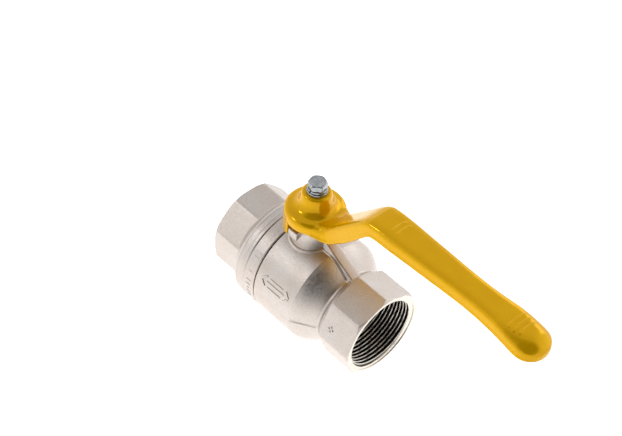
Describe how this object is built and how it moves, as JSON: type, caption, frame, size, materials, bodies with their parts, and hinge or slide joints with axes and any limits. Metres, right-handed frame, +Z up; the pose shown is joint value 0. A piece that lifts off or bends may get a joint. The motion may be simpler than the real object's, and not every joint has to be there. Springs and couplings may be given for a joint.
{
  "type": "ball valve",
  "caption": "Two-piece full-bore ball valve with octagonal internally threaded ends and a yellow cranked quarter-turn lever.",
  "frame": {"origin": "the ball's centre, where the bore axis crosses the stem axis", "axes": "+X along the bore to the body's own threaded mouth, which is also where the lever points when the valve is open, and +Z up the stem to the lever"},
  "size_m": [0.2198, 0.0676, 0.1222],
  "materials": {
    "nickel_plate": "nickel-plated brass, sand-blasted matt over the forging and brighter where it is machined",
    "chrome_plate": "hard chrome plate, polished",
    "plain_brass": "turned brass",
    "zinc_plate": "zinc-plated steel",
    "yellow_coat": "gloss golden-yellow powder coat over a die-cast aluminium lever",
    "ptfe": "white PTFE",
    "black_rubber": "matt black nitrile rubber"
  },
  "bodies": {
    "valve_shell": {"body": "nickel_plate", "end_connector": "nickel_plate", "body_seal_ring": "ptfe", "seat_ring_front": "ptfe", "seat_ring_rear": "ptfe", "stem_thrust_washer": "ptfe", "stem_packing_ring": "ptfe", "gland_nut": "plain_brass"},
    "ball": {"ball": "chrome_plate"},
    "operator": {"stem": "plain_brass", "stem_o_ring_lower": "black_rubber", "stem_o_ring_upper": "black_rubber", "lever": "yellow_coat", "flat_washer": "zinc_plate", "lock_washer": "zinc_plate", "lever_bolt": "zinc_plate"}
  },
  "joints": [
    {"name": "lever_turn", "type": "hinge", "parent": "valve_shell", "child": "operator", "pos_m": [0, 0, 0.0486], "axis": [0, 0, 1], "range_deg": [-90, 0]},
    {"name": "ball_turn", "type": "hinge", "parent": "valve_shell", "child": "ball", "pos_m": [0, 0, 0], "axis": [0, 0, 1], "range_deg": [-90, 0]}
  ],
  "couplings": [
    {"joint": "ball_turn", "follows": "lever_turn", "ratio": 1}
  ]
}
